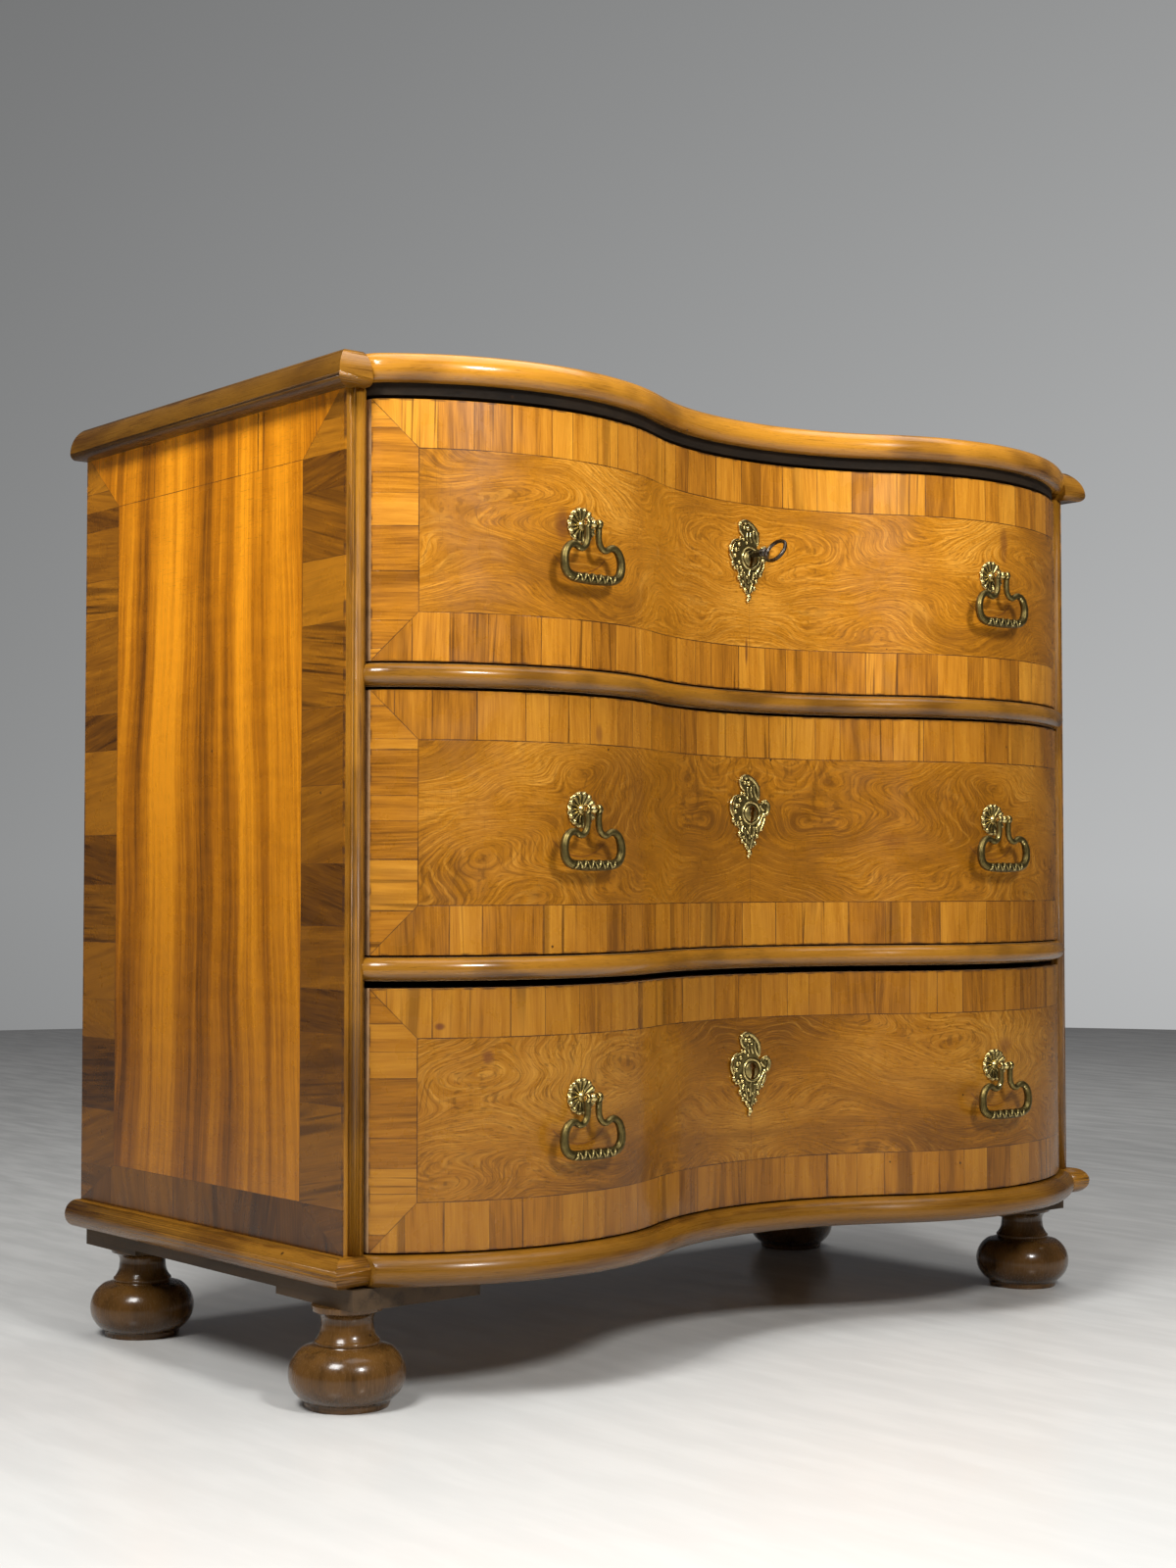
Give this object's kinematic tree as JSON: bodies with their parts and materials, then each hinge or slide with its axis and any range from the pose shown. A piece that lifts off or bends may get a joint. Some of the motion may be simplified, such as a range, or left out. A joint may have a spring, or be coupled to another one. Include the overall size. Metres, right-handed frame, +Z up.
{
  "type": "serpentine chest of drawers",
  "caption": "Veneered serpentine-fronted chest of drawers on turned ball feet, with mouldings, hanging bail pulls, pierced-look escutcheons, locks and a key.",
  "frame": {"origin": "centre of the bounding box on the floor, under the middle of the chest", "axes": "+X along the front to the right as seen from the front, +Y to the back, +Z up"},
  "size_m": [0.9552, 0.5273, 0.85],
  "materials": {
    "walnut_veneer": "gloss",
    "walnut_moulding": "gloss",
    "turned_walnut": "satin",
    "softwood": "matte",
    "old_brass": "satin",
    "lock_iron": "matte",
    "key_iron": "satin"
  },
  "bodies": {
    "carcass": {"side_panel_left": "softwood", "side_panel_right": "softwood", "side_veneer_left": "walnut_veneer", "side_veneer_right": "walnut_veneer", "stiles": "walnut_moulding", "top_board": "walnut_veneer", "top_moulding_left": "walnut_moulding", "top_moulding_right": "walnut_moulding", "top_moulding_front": "walnut_moulding", "corner_returns": "walnut_moulding", "bottom_board": "softwood", "base_moulding_left": "walnut_moulding", "base_moulding_right": "walnut_moulding", "base_moulding_front": "walnut_moulding", "back_boards": "softwood", "top_rail": "softwood", "upper_rail": "softwood", "lower_rail": "softwood", "rail_beads": "walnut_moulding", "drawer_runners": "softwood", "foot_blocks": "softwood", "side_battens": "softwood", "foot_front_left": "turned_walnut", "foot_front_right": "turned_walnut", "foot_back_left": "turned_walnut", "foot_back_right": "turned_walnut"},
    "top_drawer": {"top_drawer_front": "softwood", "top_drawer_veneer": "walnut_veneer", "top_drawer_sides": "softwood", "top_drawer_back": "softwood", "top_drawer_bottom": "softwood", "top_lock": "lock_iron", "top_escutcheon": "old_brass", "top_pull_plates": "old_brass"},
    "top_bail_left": {"top_bail_left": "old_brass"},
    "top_bail_right": {"top_bail_right": "old_brass"},
    "top_lock_bolt": {"top_lock_bolt": "lock_iron"},
    "middle_drawer": {"middle_drawer_front": "softwood", "middle_drawer_veneer": "walnut_veneer", "middle_drawer_sides": "softwood", "middle_drawer_back": "softwood", "middle_drawer_bottom": "softwood", "middle_lock": "lock_iron", "middle_escutcheon": "old_brass", "middle_pull_plates": "old_brass"},
    "middle_bail_left": {"middle_bail_left": "old_brass"},
    "middle_bail_right": {"middle_bail_right": "old_brass"},
    "middle_lock_bolt": {"middle_lock_bolt": "lock_iron"},
    "bottom_drawer": {"bottom_drawer_front": "softwood", "bottom_drawer_veneer": "walnut_veneer", "bottom_drawer_sides": "softwood", "bottom_drawer_back": "softwood", "bottom_drawer_bottom": "softwood", "bottom_lock": "lock_iron", "bottom_escutcheon": "old_brass", "bottom_pull_plates": "old_brass"},
    "bottom_bail_left": {"bottom_bail_left": "old_brass"},
    "bottom_bail_right": {"bottom_bail_right": "old_brass"},
    "bottom_lock_bolt": {"bottom_lock_bolt": "lock_iron"},
    "key": {"key": "key_iron"}
  },
  "joints": [
    {"name": "top_drawer_slide", "type": "slide", "parent": "carcass", "child": "top_drawer", "axis": [0, -1, 0], "range_m": [0, 0.33]},
    {"name": "top_bail_left_swing", "type": "hinge", "parent": "top_drawer", "child": "top_bail_left", "pos_m": [-0.2583, -0.25894, 0.7183], "axis": [-0.999, -0.0449, 0], "range_deg": [0, 100]},
    {"name": "top_bail_right_swing", "type": "hinge", "parent": "top_drawer", "child": "top_bail_right", "pos_m": [0.2583, -0.25894, 0.7183], "axis": [-0.999, 0.0449, 0], "range_deg": [0, 100]},
    {"name": "top_lock_bolt_throw", "type": "slide", "parent": "top_drawer", "child": "top_lock_bolt", "axis": [0, 0, 1], "range_m": [0, 0.009]},
    {"name": "middle_drawer_slide", "type": "slide", "parent": "carcass", "child": "middle_drawer", "axis": [0, -1, 0], "range_m": [0, 0.33]},
    {"name": "middle_bail_left_swing", "type": "hinge", "parent": "middle_drawer", "child": "middle_bail_left", "pos_m": [-0.2583, -0.25894, 0.4811], "axis": [-0.999, -0.0449, 0], "range_deg": [0, 100]},
    {"name": "middle_bail_right_swing", "type": "hinge", "parent": "middle_drawer", "child": "middle_bail_right", "pos_m": [0.2583, -0.25894, 0.4811], "axis": [-0.999, 0.0449, 0], "range_deg": [0, 100]},
    {"name": "middle_lock_bolt_throw", "type": "slide", "parent": "middle_drawer", "child": "middle_lock_bolt", "axis": [0, 0, 1], "range_m": [0, 0.009]},
    {"name": "bottom_drawer_slide", "type": "slide", "parent": "carcass", "child": "bottom_drawer", "axis": [0, -1, 0], "range_m": [0, 0.33]},
    {"name": "bottom_bail_left_swing", "type": "hinge", "parent": "bottom_drawer", "child": "bottom_bail_left", "pos_m": [-0.2583, -0.25894, 0.2439], "axis": [-0.999, -0.0449, 0], "range_deg": [0, 100]},
    {"name": "bottom_bail_right_swing", "type": "hinge", "parent": "bottom_drawer", "child": "bottom_bail_right", "pos_m": [0.2583, -0.25894, 0.2439], "axis": [-0.999, 0.0449, 0], "range_deg": [0, 100]},
    {"name": "bottom_lock_bolt_throw", "type": "slide", "parent": "bottom_drawer", "child": "bottom_lock_bolt", "axis": [0, 0, 1], "range_m": [0, 0.009]},
    {"name": "key_turn", "type": "hinge", "parent": "top_drawer", "child": "key", "pos_m": [0.004, -0.1773, 0.7253], "axis": [0, 1, 0], "range_deg": [0, 155]}
  ],
  "couplings": [
    {"joint": "key_turn", "follows": "top_lock_bolt_throw", "rad_per_m": 290.89}
  ]
}
